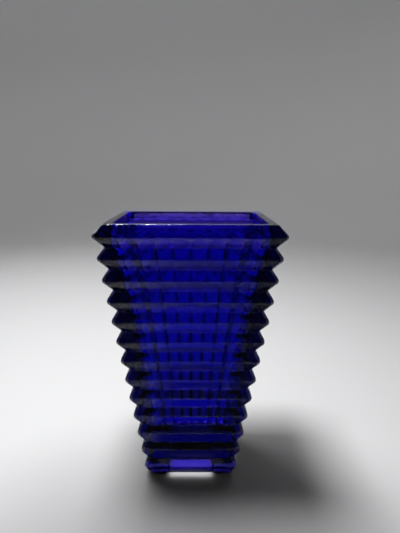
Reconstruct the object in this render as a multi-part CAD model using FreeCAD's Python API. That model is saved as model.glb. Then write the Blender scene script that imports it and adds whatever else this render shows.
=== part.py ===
import FreeCAD, Part
import math
import os

# ---------------------------------------------------------------------------
# Tall rectangular vase of cobalt-blue lead crystal, one pressed and wheel-cut
# piece of glass.
#
# Frame: millimetres, origin at the middle of the four feet on the table,
# +Z up through the mouth, +X along the wide side, -Y towards the viewer of the
# wide front. The outside is a stack of mitred horizontal ridges between a
# polished rim and a plain foot; the inside is a tapered well whose walls carry
# upright ribs.
# ---------------------------------------------------------------------------

# --- overall ---------------------------------------------------------------
height = 250.0            # feet to rim
rim_width = 140.5         # outer edge of the polished rim, along X
rim_depth = 101.2         # outer edge of the polished rim, along Y
rim_land = 6.4            # width of the flat polished rim

# --- ridges ----------------------------------------------------------------
ridges = 12               # ridge crests above the foot
first_crest_drop = 9.6    # rim to the first crest
crest_pitch = 18.2        # first crest to second
crest_pitch_growth = 0.156  # each pitch is this much longer than the last
crest_width_top = 154.4   # across the first crest, along X
crest_depth_top = 115.2   # across the first crest, along Y
foot_width = 88.9         # across the foot, along X
foot_depth = 66.3         # across the foot, along Y
crest_bow = 0.5           # how far the line of crests bows outwards half way down
crest_land = 0.9          # blunted height of each crest
groove_top = 5.6          # depth of the first groove behind the line of crests
groove_foot = 3.5         # the same at the foot
groove_drop_top = 9.3     # crest down to the groove under it, at the top
groove_drop_foot = 12.5   # the same at the foot
corner_cut = 3.0          # flat cut down each upright corner

# --- foot ------------------------------------------------------------------
# height above the table, inset from the foot's widest line, corner radius
foot_edge = [
    (9.6, 0.15, 3.6),
    (6.6, 0.85, 5.0),
    (3.6, 1.80, 6.6),
    (1.3, 2.80, 8.0),
    (0.0, 3.60, 8.8),
]
arch_width_x = 47.0       # gap between the feet along the wide side
arch_width_y = 35.0       # gap between the feet along the narrow side
arch_height = 3.2         # how high the underside is lifted between the feet
arch_round = 3.2          # rounding where an arch meets a foot
hollow_half_x = 22.5      # hollow ground into the underside, half width
hollow_half_y = 26.0      # the same, half depth
hollow_height = 9.0       # its ceiling above the table
hollow_slope_x = 2.0      # how far its sides lean in
hollow_slope_y = 8.3      # how far its front and back lean in

# --- well ------------------------------------------------------------------
# height above the table, half width, half depth at the crowns of the ribs
well = [
    (250.0, 63.85, 44.2),
    (243.0, 63.60, 43.95),
    (215.0, 56.60, 38.1),
    (180.0, 49.90, 32.9),
    (145.0, 44.20, 28.5),
    (110.0, 39.60, 25.1),
    (78.0, 35.90, 22.3),
    (54.0, 33.40, 20.4),
]
well_floor = 45.0         # height of the well's floor, so the base is this thick
well_floor_steps = [(50.0, 0.9), (47.3, 3.0), (45.9, 5.6), (45.0, 9.5)]
well_corner_top = 5.0     # corner radius of the well at the rim
well_corner_floor = 3.2   # the same at the floor
ribs_wide = 8             # upright ribs on each wide wall
ribs_narrow = 5           # upright ribs on each narrow wall
rib_start = 243.0         # the wall above this is smooth
rib_depth_top = 2.3       # depth of the channels between ribs, near the rim
rib_depth_floor = 1.1     # the same at the floor
rib_run_out = 2.4         # a channel fades out upwards over this many depths


def blend(a, b, t):
    return a + (b - a) * t


def ring(half_x, half_y, z, corner, rounded=False):
    """A rectangle at height z with its corners cut flat, or rounded."""
    x, y, c = half_x, half_y, corner
    points = [
        (-x + c, -y), (x - c, -y), (x, -y + c), (x, y - c),
        (x - c, y), (-x + c, y), (-x, y - c), (-x, -y + c),
    ]
    vectors = [FreeCAD.Vector(px, py, z) for px, py in points]
    centres = [None, (x - c, -y + c), None, (x - c, y - c), None, (-x + c, y - c), None, (-x + c, -y + c)]
    edges = []
    for i in range(8):
        start, end = vectors[i], vectors[(i + 1) % 8]
        if rounded and i % 2 == 1:
            cx, cy = centres[i]
            mx, my = (start.x + end.x) / 2 - cx, (start.y + end.y) / 2 - cy
            length = math.hypot(mx, my)
            middle = FreeCAD.Vector(cx + mx / length * c, cy + my / length * c, z)
            edges.append(Part.Arc(start, middle, end).toShape())
        else:
            edges.append(Part.makeLine(start, end))
    return Part.Wire(edges)


def crest(i):
    """Half width, half depth and height of the line of crests at crest i."""
    t = i / ridges
    bow = crest_bow * 4 * t * (1 - t)
    drop = first_crest_drop + crest_pitch * i + crest_pitch_growth * i * (i - 1) / 2
    return (
        blend(crest_width_top, foot_width, t) / 2 + bow,
        blend(crest_depth_top, foot_depth, t) / 2 + bow,
        height - drop,
    )


def outside():
    wires = [ring(rim_width / 2, rim_depth / 2, height, 0.8)]
    for i in range(ridges + 1):
        half_x, half_y, z = crest(i)
        cut = corner_cut if i else corner_cut * 0.8
        wires.append(ring(half_x, half_y, z + crest_land / 2, cut))
        if i == ridges:
            break
        wires.append(ring(half_x, half_y, z - crest_land / 2, cut))
        t = i / (ridges - 1)
        depth = blend(groove_top, groove_foot, t)
        half_x, half_y, _ = crest(i + 0.5)
        wires.append(
            ring(half_x - depth, half_y - depth, z - blend(groove_drop_top, groove_drop_foot, t), corner_cut * 0.9)
        )
    half_x, half_y, _ = crest(ridges)
    for z, inset, radius in foot_edge:
        wires.append(ring(half_x - inset, half_y - inset, z, radius, rounded=True))
    return Part.makeLoft(wires, True, True)


def well_corner(z):
    return blend(well_corner_floor, well_corner_top, (z - well_floor) / (height - well_floor))


def smooth_well():
    """The well out to the crowns of the ribs."""
    wires = [ring(x, y, z, well_corner(z), rounded=True) for z, x, y in [(height + 4.0, well[0][1] + 0.7, well[0][2] + 0.7)] + well]
    _, last_x, last_y = well[-1]
    wires += [
        ring(last_x - inset, last_y - inset, z, well_corner(z) + inset * 0.2, rounded=True)
        for z, inset in well_floor_steps
    ]
    return Part.makeLoft(wires, True, True)


def ribbed_ring(half_x, half_y, z):
    """The well's outline with a channel between each two ribs. The ribs' crowns lie on the smooth well's walls."""
    corner = well_corner(z)
    depth = blend(rib_depth_floor, rib_depth_top, (z - well_floor) / (height - well_floor))
    sides = [
        (ribs_wide, (-half_x + corner, -half_y), (half_x - corner, -half_y), (0, -1)),
        (ribs_narrow, (half_x, -half_y + corner), (half_x, half_y - corner), (1, 0)),
        (ribs_wide, (half_x - corner, half_y), (-half_x + corner, half_y), (0, 1)),
        (ribs_narrow, (-half_x, half_y - corner), (-half_x, -half_y + corner), (-1, 0)),
    ]
    edges = []
    first = last = None
    for count, start, end, out in sides:
        for i in range(count):
            a, b = i / count, (i + 1) / count
            points = []
            for t, out_by in ((a, depth), ((a + b) / 2, 0.0), (b, depth)):
                points.append(
                    FreeCAD.Vector(
                        blend(start[0], end[0], t) + out[0] * out_by,
                        blend(start[1], end[1], t) + out[1] * out_by,
                        z,
                    )
                )
            if i == 0:
                if first is None:
                    first = points[0]
                else:
                    edges.append(Part.makeLine(last, points[0]))
            edges.append(Part.Arc(points[0], points[1], points[2]).toShape())
            last = points[2]
    edges.append(Part.makeLine(last, first))
    return Part.Wire(edges)


def channels():
    """The ribbed part of the well. Its top is cut back with depth, so that each rib ends in an arch."""
    levels = [(z, x, y) for z, x, y in well if z <= rib_start]
    _, last_x, last_y = well[-1]
    levels.append((50.0, last_x - 0.9, last_y - 0.9))
    body = Part.makeLoft([ribbed_ring(x, y, z) for z, x, y in levels], True, True)
    _, top_x, top_y = levels[0]
    fade = rib_depth_top + 1.5
    limit = Part.makeLoft(
        [
            ring(top_x - 1.0, top_y - 1.0, rib_start + 1.0 * rib_run_out, 0.5),
            ring(top_x + fade, top_y + fade, rib_start - fade * rib_run_out, 0.5),
            ring(top_x + fade, top_y + fade, well_floor, 0.5),
        ],
        True,
        True,
    )
    return body.common(limit)


def arch(half_span, length, along_x):
    """A shallow tunnel under the base, with rounded shoulders."""
    r = arch_round
    k = r * (1 - math.sqrt(0.5))
    def p(s, z):
        return FreeCAD.Vector(-length / 2, s, z) if along_x else FreeCAD.Vector(s, -length / 2, z)
    h = arch_height
    points = [p(-half_span, -2.0), p(-half_span, h - r), p(-half_span + r, h), p(half_span - r, h), p(half_span, h - r), p(half_span, -2.0)]
    edges = [
        Part.makeLine(points[0], p(-half_span, h - r + 0.0001)) if h - r > -2.0 else None,
        Part.Arc(p(-half_span, h - r + 0.0001), p(-half_span + k, h - k), points[2]).toShape(),
        Part.makeLine(points[2], points[3]),
        Part.Arc(points[3], p(half_span - k, h - k), p(half_span, h - r + 0.0001)).toShape(),
        Part.makeLine(p(half_span, h - r + 0.0001), points[5]),
        Part.makeLine(points[5], points[0]),
    ]
    face = Part.Face(Part.Wire([e for e in edges if e is not None]))
    return face.extrude(FreeCAD.Vector(length, 0, 0) if along_x else FreeCAD.Vector(0, length, 0))


def base_hollow():
    """The hollow in the underside between the four feet, with leaning walls."""
    return Part.makeLoft(
        [
            ring(hollow_half_x, hollow_half_y, 0.5, 0.5),
            ring(hollow_half_x, hollow_half_y, arch_height, 0.5),
            ring(hollow_half_x - hollow_slope_x, hollow_half_y - hollow_slope_y, hollow_height, 0.5),
        ],
        True,
        True,
    )


def crystal_body():
    shape = outside()
    shape = shape.cut(smooth_well())
    shape = shape.cut(channels())
    shape = shape.cut(arch(arch_width_x / 2, foot_depth * 2, False))
    shape = shape.cut(arch(arch_width_y / 2, foot_width * 2, True))
    shape = shape.cut(base_hollow())
    solids = shape.Solids
    assert len(solids) == 1, len(solids)
    assert solids[0].isValid()
    return solids[0]


os.makedirs("parts", exist_ok=True)
body = crystal_body()
body.exportStep("parts/crystal_body.step")
box = body.BoundBox
print("size", round(box.XLength, 2), round(box.YLength, 2), round(box.ZLength, 2), "z", round(box.ZMin, 3), "volume cm3", round(body.Volume / 1000, 1), "faces", len(body.Faces))
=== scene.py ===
"""Cobalt-blue cut crystal vase: its looks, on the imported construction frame. Metres, +Z up, the wide front faces -Y."""

import math

import bpy
from mathutils import Matrix, Vector


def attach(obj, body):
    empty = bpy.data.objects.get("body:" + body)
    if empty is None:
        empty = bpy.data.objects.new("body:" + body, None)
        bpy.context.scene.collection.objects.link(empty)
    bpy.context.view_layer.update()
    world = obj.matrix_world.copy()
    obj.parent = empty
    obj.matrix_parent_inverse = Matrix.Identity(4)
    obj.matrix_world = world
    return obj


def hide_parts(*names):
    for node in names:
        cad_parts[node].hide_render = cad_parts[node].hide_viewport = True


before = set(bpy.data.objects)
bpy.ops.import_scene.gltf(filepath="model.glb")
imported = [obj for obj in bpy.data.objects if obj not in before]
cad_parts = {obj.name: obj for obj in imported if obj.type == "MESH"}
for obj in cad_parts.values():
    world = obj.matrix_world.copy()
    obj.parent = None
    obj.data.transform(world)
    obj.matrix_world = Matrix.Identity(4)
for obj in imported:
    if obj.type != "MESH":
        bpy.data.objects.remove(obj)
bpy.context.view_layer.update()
MM = 0.001

# ---------------------------------------------------------------------------
# Sizes, in millimetres: the same as the construction's
# ---------------------------------------------------------------------------
HEIGHT = 250.0
RIM = (70.25, 50.6)
RIM_LAND = 6.4
RIDGES = 12
FIRST_DROP, PITCH, PITCH_GROWTH = 9.6, 18.2, 0.156
CREST_TOP = (77.0, 57.4)
FOOT = (44.45, 33.15)
CREST_BOW = 0.5
GROOVE = (5.6, 3.5)
GROOVE_DROP = (9.3, 12.5)
CORNER = 3.0
FOOT_EDGE = [(11.9, 0.0, 3.0), (9.6, 0.15, 3.6), (6.6, 0.85, 5.0), (3.6, 1.80, 6.6), (1.3, 2.80, 8.0), (0.0, 3.60, 8.8)]
ARCH = (23.5, 17.5)
ARCH_HEIGHT, ARCH_ROUND = 3.2, 3.2
HOLLOW, HOLLOW_RISE, HOLLOW_SLOPE = (22.5, 26.0), 5.8, (2.9, 0.7)
WELL = [
    (250.0, 63.85, 44.2), (243.0, 63.60, 43.95), (215.0, 56.60, 38.1), (180.0, 49.90, 32.9),
    (145.0, 44.20, 28.5), (110.0, 39.60, 25.1), (78.0, 35.90, 22.3), (54.0, 33.40, 20.4),
]
WELL_FLOOR, FLOOR_ROUND = 45.0, 9.0
RIB_START, RIB_DEPTH, RUN_OUT = 243.0, (1.1, 2.3), 2.4
RIBS = (8, 5)
NX, NY = 64, 40          # columns on a wide and a narrow side
NC = 6                   # points inside each corner
CORNER_REACH = 12.0


def lerp(a, b, t):
    return a + (b - a) * t


def through(table, z, column):
    """A smooth value from a table sorted from the top down."""
    rows = table
    if z >= rows[0][0]:
        return rows[0][column]
    for k in range(len(rows) - 1):
        hi, lo = rows[k], rows[k + 1]
        if z >= lo[0]:
            t = (hi[0] - z) / (hi[0] - lo[0])
            if k == 0 or k == len(rows) - 2:
                return lerp(hi[column], lo[column], t)
            before, after = rows[k - 1], rows[k + 2]
            span = hi[0] - lo[0]
            m0 = (lo[column] - before[column]) / (before[0] - lo[0]) * span
            m1 = (after[column] - hi[column]) / (hi[0] - after[0]) * span
            return (
                (2 * t**3 - 3 * t**2 + 1) * hi[column]
                + (t**3 - 2 * t**2 + t) * m0
                + (-2 * t**3 + 3 * t**2) * lo[column]
                + (t**3 - t**2) * m1
            )
    return rows[-1][column]


def bezier(a, v, b, t):
    return [(1 - t) ** 2 * p + 2 * t * (1 - t) * q + t * t * r for p, q, r in zip(a, v, b)]


# ---------------------------------------------------------------------------
# Loops of points, all with the same columns, so that rows join into quads
# ---------------------------------------------------------------------------
COLUMNS = 2 * (NX + 1) + 2 * (NY + 1) + 4 * NC


def cut_corner(hx, hy, c, soft):
    """The points of the front right corner between the two sides' ends, and how far the sides stop short of it."""
    t = min(soft * math.tan(math.radians(22.5)), c * 0.45)
    first = [[hx - c - t, -hy], [hx - c, -hy], [hx - c + t * 0.7071, -hy + t * 0.7071]]
    second = [[hx - t * 0.7071, -hy + c - t * 0.7071], [hx, -hy + c], [hx, -hy + c + t]]
    points = [bezier(*first, 1 / 3), bezier(*first, 2 / 3), first[2], second[0], bezier(*second, 1 / 3), bezier(*second, 2 / 3)]
    return points, c + t


def round_corner(hx, hy, c):
    points = []
    for k in range(1, NC + 1):
        a = math.pi / 2 * k / (NC + 1)
        points.append([hx - c + c * math.sin(a), -hy + c - c * math.cos(a)])
    return points, c


def around(hx, hy, corner, stop, push=None):
    """All the columns' (x, y), counter-clockwise from the front left. push(side, t) moves a side's point outwards."""
    sides = [
        (NX, (-hx + stop, -hy), (hx - stop, -hy), (0, -1), 0),
        (NY, (hx, -hy + stop), (hx, hy - stop), (1, 0), 1),
        (NX, (hx - stop, hy), (-hx + stop, hy), (0, 1), 0),
        (NY, (-hx, hy - stop), (-hx, -hy + stop), (-1, 0), 1),
    ]
    turn = [lambda p: (p[0], p[1]), lambda p: (p[0], -p[1]), lambda p: (-p[0], -p[1]), lambda p: (-p[0], p[1])]
    loop = []
    for s, (count, start, end, out, kind) in enumerate(sides):
        for i in range(count + 1):
            t = i / count
            by = push(kind, t) if push else 0.0
            loop.append((lerp(start[0], end[0], t) + out[0] * by, lerp(start[1], end[1], t) + out[1] * by))
        # A corner's points run forwards at the front right and back left, and backwards at the other two.
        points = corner if s % 2 == 0 else corner[::-1]
        loop += [turn[s](p) for p in points]
    return loop


def crest(i):
    t = i / RIDGES
    bow = CREST_BOW * 4 * t * (1 - t)
    drop = FIRST_DROP + PITCH * i + PITCH_GROWTH * i * (i - 1) / 2
    return lerp(CREST_TOP[0], FOOT[0], t) + bow, lerp(CREST_TOP[1], FOOT[1], t) + bow, HEIGHT - drop


def outer_profile(at_corner=False):
    """Rows of (half x, half y, z, corner, softness of the corner's edges), with every crest and groove rounded as polishing leaves them.
    At the upright corners the crests are ground rounder, and lower towards the foot."""
    corners = [(RIM[0], RIM[1], HEIGHT, 0.9, 0.5, 2)]
    for i in range(RIDGES + 1):
        hx, hy, z = crest(i)
        cut = CORNER if i else CORNER * 0.8
        if at_corner:
            t = i / RIDGES
            out = lerp(1.4, 0.9, t)
            corners.append((hx + out, hy + out, z - (lerp(-0.4, 2.4, t) if i < RIDGES else 1.0), cut, lerp(3.9, 5.2, t), 5))
        else:
            corners.append((hx + 0.2, hy + 0.2, z, cut, 1.3, 5))
        if i < RIDGES:
            t = i / (RIDGES - 1)
            deep = lerp(GROOVE[0], GROOVE[1], t)
            gx, gy, _ = crest(i + 0.5)
            z_groove = z - lerp(GROOVE_DROP[0], GROOVE_DROP[1], t)
            if at_corner:
                deep += 0.3
                z_groove -= lerp(0.4, -0.4, t)
            corners.append((gx - deep, gy - deep, z_groove, CORNER * 0.9, 0.6, 3))
    rows = []
    before = (RIM[0] - 1.2, RIM[1] - 1.2, HEIGHT, 0.6)
    for k, (hx, hy, z, c, soft, steps) in enumerate(corners):
        after = corners[k + 1][:4] if k + 1 < len(corners) else (FOOT[0] - 0.15, FOOT[1] - 0.15, 9.6, 3.6)
        here = (hx, hy, z, c)
        def towards(other, by):
            length = math.dist(here[:3], other[:3])
            return [lerp(p, q, min(by / length, 0.5)) for p, q in zip(here, other)]
        a, b = towards(before, soft), towards(after, soft)
        for s in range(steps + 1):
            rows.append((*bezier(a, here, b, s / steps), 0.9))
        before = here
    return rows


def corner_weights(hx, hy):
    """How much of the corner's own profile each column takes: all of it at the corner, none beyond CORNER_REACH."""
    weights = []
    for count, length in ((NX, 2 * hx), (NY, 2 * hy), (NX, 2 * hx), (NY, 2 * hy)):
        for i in range(count + 1):
            away = min(i, count - i) / count * length
            d = min(1.0, away / CORNER_REACH)
            weights.append(1.0 - d * d * (3 - 2 * d))
        weights += [1.0] * NC
    return weights


def hollow_at(x, y):
    """How far the hollow rises above the arches."""
    return max(0.0, min(HOLLOW_RISE, HOLLOW_SLOPE[0] * (HOLLOW[0] - abs(x)), HOLLOW_SLOPE[1] * (HOLLOW[1] - abs(y))))


def arch_at(s, half):
    d = half - abs(s)
    if d <= 0:
        return 0.0
    if d >= ARCH_ROUND:
        return ARCH_HEIGHT
    return math.sqrt(ARCH_ROUND**2 - (ARCH_ROUND - d) ** 2) * ARCH_HEIGHT / ARCH_ROUND


def foot_loop(z, top):
    """One row of the foot's rounded lower edge. Over an arch the row is squeezed upwards."""
    table = FOOT_EDGE
    level = z
    plain = [round_corner(FOOT[0] - through(table, level, 1), FOOT[1] - through(table, level, 1), through(table, level, 2))]
    inset, corner = through(table, level, 1), through(table, level, 2)
    hx, hy = FOOT[0] - inset, FOOT[1] - inset
    points, stop = round_corner(hx, hy, corner)
    flat = around(hx, hy, points, stop)
    loop = []
    for x, y in flat:
        lift = 0.0
        if abs(abs(y) - hy) < 1e-6:
            lift = arch_at(x, ARCH[0])
        elif abs(abs(x) - hx) < 1e-6:
            lift = arch_at(y, ARCH[1])
        if lift > 0:
            zz = lift + z * (top - lift) / top
            other = through(table, zz, 1)
            grow = inset - other
            x += math.copysign(grow, x) if abs(abs(x) - hx) < 1e-6 else 0.0
            y += math.copysign(grow, y) if abs(abs(y) - hy) < 1e-6 else 0.0
            loop.append((x, y, zz))
        else:
            loop.append((x, y, z))
    return loop


def well_loop(z, x_in=0.0, ribbed=1.0):
    hx, hy = through(WELL, z, 1) - x_in, through(WELL, z, 2) - x_in
    up = (z - WELL_FLOOR) / (HEIGHT - WELL_FLOOR)
    corner = lerp(3.2, 5.0, up) + x_in * 0.2
    deep = lerp(RIB_DEPTH[0], RIB_DEPTH[1], up) * ribbed
    allowed = max(0.0, (RIB_START - z) / RUN_OUT)

    def push(kind, t):
        s = (t * RIBS[kind]) % 1.0
        curve = (2 * s - 1) ** 2
        return min(deep * curve, allowed)

    edge = min(deep, allowed)
    a = (hx - corner, -hy - edge)
    b = (hx + edge, -hy + corner)
    v = (hx - corner * 0.24 + edge * 0.2, -hy + corner * 0.24 - edge * 0.2)
    points = [bezier(a, v, b, k / (NC + 1)) for k in range(1, NC + 1)]
    return [(x, y, z) for x, y in around(hx, hy, points, corner, push)]


def sides_of(loop):
    """Where each side's columns start in a loop."""
    front = 0
    right = front + NX + 1 + NC
    back = right + NY + 1 + NC
    left = back + NX + 1 + NC
    return front, right, back, left


def build_body():
    verts, faces = [], []

    def add_loop(points):
        start = len(verts)
        verts.extend((x * MM, y * MM, z * MM) for x, y, z in points)
        return start

    def join(a, b):
        for k in range(COLUMNS):
            n = (k + 1) % COLUMNS
            faces.append((a + k, a + n, b + n, b + k))

    def cap(start, height):
        """Closes a loop with a grid whose height is height(x, y)."""
        front, right, back, left = (start + s for s in sides_of(None))
        grid = []
        for i in range(NX + 1):
            x = verts[front + i][0]
            column = []
            for j in range(NY + 1):
                y = verts[right + j][1]
                column.append(len(verts))
                verts.append((x, y, height(x / MM, y / MM) * MM))
            grid.append(column)
        for i in range(NX):
            for j in range(NY):
                faces.append((grid[i][j], grid[i + 1][j], grid[i + 1][j + 1], grid[i][j + 1]))
            faces.append((front + i, front + i + 1, grid[i + 1][0], grid[i][0]))
            faces.append((back + i, back + i + 1, grid[NX - i - 1][NY], grid[NX - i][NY]))
        for j in range(NY):
            faces.append((right + j, right + j + 1, grid[NX][j + 1], grid[NX][j]))
            faces.append((left + j, left + j + 1, grid[0][NY - j - 1], grid[0][NY - j]))
        for centre, first in ((grid[NX][0], front + NX), (grid[NX][NY], right + NY), (grid[0][NY], back + NX), (grid[0][0], left + NY)):
            for k in range(NC + 1):
                a, b = first + k, first + k + 1
                b = start if b == start + COLUMNS else b
                faces.append((a, b, centre))

    rows = []
    # The outside, from the rim's land down
    for middle, end in zip(outer_profile(), outer_profile(at_corner=True)):
        pair = []
        for hx, hy, z, c, soft in (middle, end):
            points, stop = cut_corner(hx, hy, c, soft)
            pair.append([(x, y, z) for x, y in around(hx, hy, points, stop)])
        weights = corner_weights(middle[0], middle[1])
        rows.append([tuple(lerp(p, q, w) for p, q in zip(a, b)) for a, b, w in zip(pair[0], pair[1], weights)])
    top = 9.6
    for z in (9.6, 8.6, 7.6, 6.6, 5.6, 4.6, 3.6, 2.8, 2.0, 1.3, 0.8, 0.35, 0.0):
        rows.append(foot_loop(z, top))
    starts = [add_loop(r) for r in rows]
    for a, b in zip(starts, starts[1:]):
        join(a, b)
    def underside(x, y):
        return max(arch_at(x, ARCH[0]), arch_at(y, ARCH[1])) + hollow_at(x, y)

    inset, corner = FOOT_EDGE[-1][1], FOOT_EDGE[-1][2]
    under = [starts[-1]]
    for e in (1.2, 2.4, 3.55, 4.7, 5.9, 7.1):
        hx, hy = FOOT[0] - inset - e, FOOT[1] - inset - e
        points, stop = round_corner(hx, hy, corner - e)
        under.append(add_loop([(x, y, underside(x, y)) for x, y in around(hx, hy, points, stop)]))
    for a, b in zip(under, under[1:]):
        join(a, b)
    cap(under[-1], underside)

    # The well, from the rim's land down
    def mouth(z, out):
        return [(x + math.copysign(out, x), y + math.copysign(out, y), z) for x, y, _ in well_loop(250.0)]

    inner = [mouth(250.0, 0.7), mouth(249.8, 0.2), mouth(249.4, 0.0)]
    inner += [well_loop(z) for z in (248.0, 246.0, 244.5, 243.4)]
    z = 243.0
    while z > 236.4:
        inner.append(well_loop(z))
        z -= 0.4
    steps = 40
    for k in range(steps + 1):
        inner.append(well_loop(lerp(236.0, 57.0, k / steps)))
    for k in range(13):
        a = math.pi / 2 * k / 12
        z = WELL_FLOOR + FLOOR_ROUND * (1 - math.sin(a))
        inset = FLOOR_ROUND * (1 - math.cos(a))
        inner.append(well_loop(z, inset, max(0.0, 1 - k / 5)))
    well = [add_loop(r) for r in inner]
    join(starts[0], well[0])
    for a, b in zip(well, well[1:]):
        join(a, b)
    cap(well[-1], lambda x, y: WELL_FLOOR)

    mesh = bpy.data.meshes.new("vase_crystal")
    mesh.from_pydata(verts, [], faces)
    import bmesh

    bm = bmesh.new()
    bm.from_mesh(mesh)
    bmesh.ops.remove_doubles(bm, verts=bm.verts, dist=1e-7)
    bmesh.ops.recalc_face_normals(bm, faces=bm.faces)
    open_edges = sum(1 for e in bm.edges if len(e.link_faces) != 2)
    volume = bm.calc_volume(signed=True)
    print("vase mesh", len(bm.verts), len(bm.faces), "open or odd edges", open_edges, "volume cm3", round(volume * 1e6, 1))
    for f in bm.faces:
        f.smooth = True
    bm.to_mesh(mesh)
    bm.free()
    mesh.set_sharp_from_angle(angle=math.radians(30))
    obj = bpy.data.objects.new("vase_crystal", mesh)
    bpy.context.scene.collection.objects.link(obj)
    weighted = obj.modifiers.new("even_normals", "WEIGHTED_NORMAL")
    weighted.mode = "FACE_AREA"
    weighted.weight = 50
    weighted.keep_sharp = True
    return obj


# ---------------------------------------------------------------------------
# Material: through-coloured cobalt crystal
# ---------------------------------------------------------------------------
def cobalt_crystal():
    material = bpy.data.materials.new("cobalt_crystal")
    material.use_nodes = True
    tree = material.node_tree
    nodes, links = tree.nodes, tree.links
    nodes.clear()
    out = nodes.new("ShaderNodeOutputMaterial")
    glass = nodes.new("ShaderNodeBsdfPrincipled")
    glass.inputs["Base Color"].default_value = (1.0, 1.0, 1.0, 1.0)
    glass.inputs["Transmission Weight"].default_value = 1.0
    glass.inputs["IOR"].default_value = 1.50
    absorb = nodes.new("ShaderNodeVolumeAbsorption")
    absorb.inputs["Color"].default_value = (0.20, 0.0, 0.88, 1.0)
    absorb.inputs["Density"].default_value = 280.0

    def math_node(kind, a, b=None, c=None):
        node = nodes.new("ShaderNodeMath")
        node.operation = kind
        for socket, value in zip(node.inputs, (a, b, c)):
            if value is None:
                continue
            if isinstance(value, (int, float)):
                socket.default_value = value
            else:
                links.new(value, socket)
        return node.outputs[0]

    where = nodes.new("ShaderNodeTexCoord").outputs["Object"]
    split = nodes.new("ShaderNodeSeparateXYZ")
    links.new(where, split.inputs[0])
    x, y, z = split.outputs
    # The well's wall keeps the softer skin of the mould; the outside is wheel-cut and polished.
    in_x = math_node("LESS_THAN", math_node("ABSOLUTE", x), math_node("MULTIPLY_ADD", z, 0.155, 0.0280))
    in_y = math_node("LESS_THAN", math_node("ABSOLUTE", y), math_node("MULTIPLY_ADD", z, 0.1214, 0.0168))
    in_z = math_node("MULTIPLY", math_node("GREATER_THAN", z, 0.0445), math_node("LESS_THAN", z, 0.2493))
    well = math_node("MULTIPLY", math_node("MULTIPLY", in_x, in_y), in_z)
    fine = nodes.new("ShaderNodeTexNoise")
    fine.inputs["Scale"].default_value = 260.0
    fine.inputs["Detail"].default_value = 4.0
    links.new(where, fine.inputs["Vector"])
    worn = math_node("MULTIPLY_ADD", fine.outputs["Fac"], 0.05, 0.0)
    links.new(math_node("MULTIPLY_ADD", well, 0.15, worn), glass.inputs["Roughness"])
    slow = nodes.new("ShaderNodeTexNoise")
    slow.inputs["Scale"].default_value = 75.0
    slow.inputs["Detail"].default_value = 2.0
    links.new(where, slow.inputs["Vector"])
    wave = math_node("MULTIPLY", slow.outputs["Fac"], math_node("MULTIPLY_ADD", well, 0.75, 0.25))
    bump = nodes.new("ShaderNodeBump")
    bump.inputs["Strength"].default_value = 0.7
    bump.inputs["Distance"].default_value = 0.0005
    links.new(wave, bump.inputs["Height"])
    links.new(bump.outputs["Normal"], glass.inputs["Normal"])
    links.new(glass.outputs["BSDF"], out.inputs["Surface"])
    links.new(absorb.outputs["Volume"], out.inputs["Volume"])
    return material


body = build_body()
body.data.materials.append(cobalt_crystal())
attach(body, "root")
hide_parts("crystal_body")


# ---------------------------------------------------------------------------
# Stage: pale floor that sweeps up behind, soft studio light
# ---------------------------------------------------------------------------
def plain_material(name, colour, roughness=0.6):
    material = bpy.data.materials.new(name)
    material.use_nodes = True
    shader = material.node_tree.nodes["Principled BSDF"]
    shader.inputs["Base Color"].default_value = (*colour, 1.0)
    shader.inputs["Roughness"].default_value = roughness
    return material


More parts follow.
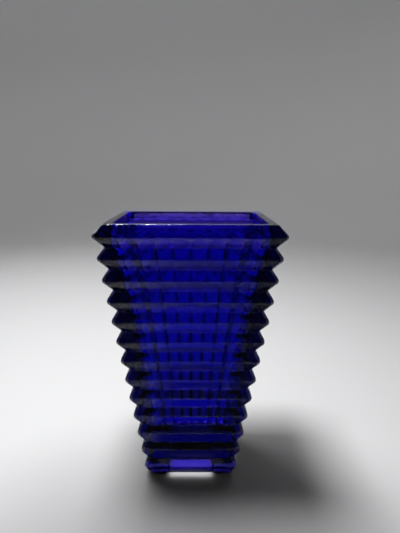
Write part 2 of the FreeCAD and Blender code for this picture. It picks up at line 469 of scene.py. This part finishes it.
def cove():
    """A round floor that curves up into a low wall on every side."""
    flat, radius, top, turns = 1.35, 0.5, 1.6, 96
    line = [(0.12 * k, 0.0) for k in range(1, 12)] + [(flat, 0.0)]
    for k in range(1, 17):
        a = math.pi / 2 * k / 16
        line.append((flat + radius * math.sin(a), radius - radius * math.cos(a)))
    line += [(flat + radius, lerp(radius, top, k / 4)) for k in range(1, 5)]
    verts = [(0.0, 0.0, 0.0)]
    for r, z in line:
        for k in range(turns):
            a = 2 * math.pi * k / turns
            verts.append((r * math.cos(a), r * math.sin(a), z))
    faces = [(0, 1 + k, 1 + (k + 1) % turns) for k in range(turns)]
    for i in range(len(line) - 1):
        for k in range(turns):
            n = (k + 1) % turns
            faces.append((1 + i * turns + k, 1 + (i + 1) * turns + k, 1 + (i + 1) * turns + n, 1 + i * turns + n))
    mesh = bpy.data.meshes.new("studio_floor")
    mesh.from_pydata(verts, [], faces)
    for p in mesh.polygons:
        p.use_smooth = True
    obj = bpy.data.objects.new("studio_floor", mesh)
    bpy.context.scene.collection.objects.link(obj)
    material = plain_material("pale_floor", (0.80, 0.80, 0.81))
    # Painted shade: a darker patch of floor in front of the vase stands in for the vase's shadow there, and keeps the
    # undersides of its ridges, which mirror it, deep in colour.
    tree = material.node_tree
    away = tree.nodes.new("ShaderNodeVectorMath")
    away.operation = "DISTANCE"
    away.inputs[1].default_value = (0.0, -0.26, 0.0)
    tree.links.new(tree.nodes.new("ShaderNodeTexCoord").outputs["Object"], away.inputs[0])
    ramp = tree.nodes.new("ShaderNodeMapRange")
    ramp.interpolation_type = "SMOOTHSTEP"
    for name, value in (("From Min", 0.13), ("From Max", 0.36)):
        ramp.inputs[name].default_value = value
    tree.links.new(away.outputs["Value"], ramp.inputs["Value"])
    painted_shadow_mix = tree.nodes.new("ShaderNodeMix")
    painted_shadow_mix.data_type = "RGBA"
    # The painted shadow's darker floor colour, blended in around a point in front of the vase.
    painted_shadow_mix.inputs["A"].default_value = (0.42, 0.42, 0.43, 1.0)
    painted_shadow_mix.inputs["B"].default_value = (0.80, 0.80, 0.81, 1.0)
    tree.links.new(ramp.outputs["Result"], painted_shadow_mix.inputs["Factor"])
    # The wall far in front is mid grey, so that little of it is mirrored in the facets.
    split = tree.nodes.new("ShaderNodeSeparateXYZ")
    tree.links.new(tree.nodes.new("ShaderNodeTexCoord").outputs["Object"], split.inputs[0])
    far = tree.nodes.new("ShaderNodeMapRange")
    far.interpolation_type = "SMOOTHSTEP"
    for name, value in (("From Min", -1.35), ("From Max", -0.45)):
        far.inputs[name].default_value = value
    tree.links.new(split.outputs["Y"], far.inputs["Value"])
    wall = tree.nodes.new("ShaderNodeMix")
    wall.data_type = "RGBA"
    wall.inputs["A"].default_value = (0.20, 0.20, 0.205, 1.0)
    tree.links.new(painted_shadow_mix.outputs["Result"], wall.inputs["B"])
    tree.links.new(far.outputs["Result"], wall.inputs["Factor"])
    tree.links.new(wall.outputs["Result"], tree.nodes["Principled BSDF"].inputs["Base Color"])
    mesh.materials.append(material)
    return obj


def area_light(name, place, target, size, power, colour=(1, 1, 1), size_y=None):
    data = bpy.data.lights.new(name, "AREA")
    data.energy = power
    data.color = colour
    data.size = size
    if size_y:
        data.shape = "RECTANGLE"
        data.size_y = size_y
    obj = bpy.data.objects.new(name, data)
    obj.location = place
    obj.rotation_euler = (Vector(target) - Vector(place)).to_track_quat("-Z", "Y").to_euler()
    bpy.context.scene.collection.objects.link(obj)
    return obj


cove()
area_light("key_overhead", (-0.13, 0.045, 0.95), (0.0, 0.0, 0.0), 0.22, 8.2)
area_light("fill_back_left", (-0.60, 0.60, 0.75), (0.0, 0.0, 0.0), 0.5, 1.9)
area_light("backdrop_wash", (0.0, 0.45, 1.5), (0.0, 1.25, 0.75), 1.6, 3.6, size_y=0.4)
# The lit strip of floor under each arch, where the real glass gathers light that isn't traced here.
for name, place, size, size_y, power in (
    ("under_arch_front", (0.0, 0.0, 0.0027), 0.041, 0.0660, 0.0095),
    ("under_arch_left", (-0.0325, 0.0, 0.0027), 0.023, 0.029, 0.0007),
    ("under_arch_right", (0.0325, 0.0, 0.0027), 0.023, 0.029, 0.0007),
):
    light = area_light(name, place, (place[0], place[1], -1.0), size, power, size_y=size_y)
    light.rotation_euler = (0.0, 0.0, 0.0)
    light.visible_camera = light.visible_glossy = light.visible_transmission = False
world = bpy.data.worlds.new("studio")
bpy.context.scene.world = world
world.use_nodes = True
# Dim overhead, so that the facets that face up stay deep in colour.
tree = world.node_tree
split = tree.nodes.new("ShaderNodeSeparateXYZ")
tree.links.new(tree.nodes.new("ShaderNodeTexCoord").outputs["Generated"], split.inputs[0])
fade = tree.nodes.new("ShaderNodeMapRange")
fade.interpolation_type = "SMOOTHSTEP"
for name, value in (("From Min", 0.30), ("From Max", 0.60), ("To Min", 0.06), ("To Max", 0.012)):
    fade.inputs[name].default_value = value
tree.links.new(split.outputs["Z"], fade.inputs["Value"])
tree.nodes["Background"].inputs["Color"].default_value = (0.97, 0.97, 1.0, 1.0)
tree.links.new(fade.outputs["Result"], tree.nodes["Background"].inputs["Strength"])


# ---------------------------------------------------------------------------
# Camera, at the photograph's viewing angle
# ---------------------------------------------------------------------------
def camera():
    unit = 140.5
    distance, above_rim, aside = 2.593548 * unit, 0.309513 * unit, -0.057932 * unit
    down, yaw, roll = 0.241539, 0.009451, 0.006445
    c, s = math.cos(yaw), math.sin(yaw)
    place = Vector((-aside * c - distance * s, aside * s - distance * c, HEIGHT + above_rim)) * MM
    ahead = Vector((s * math.cos(down), c * math.cos(down), -math.sin(down)))
    right = Vector((c, -s, 0.0))
    up = right.cross(ahead)
    right, up = right * math.cos(roll) + up * math.sin(roll), up * math.cos(roll) - right * math.sin(roll)
    data = bpy.data.cameras.new("camera")
    data.sensor_fit = "HORIZONTAL"
    data.sensor_width = 36.0
    data.lens = 36.0
    data.clip_start = 0.01
    obj = bpy.data.objects.new("camera", data)
    obj.matrix_world = Matrix((
        (right.x, up.x, -ahead.x, place.x),
        (right.y, up.y, -ahead.y, place.y),
        (right.z, up.z, -ahead.z, place.z),
        (0, 0, 0, 1),
    ))
    bpy.context.scene.collection.objects.link(obj)
    bpy.context.scene.camera = obj


camera()

scene = bpy.context.scene
scene.view_settings.view_transform = "Standard"
scene.view_settings.look = "None"
scene.view_settings.exposure = 0.0
scene.view_settings.gamma = 1.0
scene.cycles.max_bounces = 32
scene.cycles.transmission_bounces = 28
scene.cycles.glossy_bounces = 12
scene.cycles.transparent_max_bounces = 16
scene.cycles.diffuse_bounces = 4
scene.cycles.caustics_reflective = False
scene.cycles.caustics_refractive = False
scene.cycles.blur_glossy = 0.0
scene.cycles.sample_clamp_indirect = 4.0


def plain(found):
    return [[float(v) for v in corner] for corner in found]


bpy.context.view_layer.update()
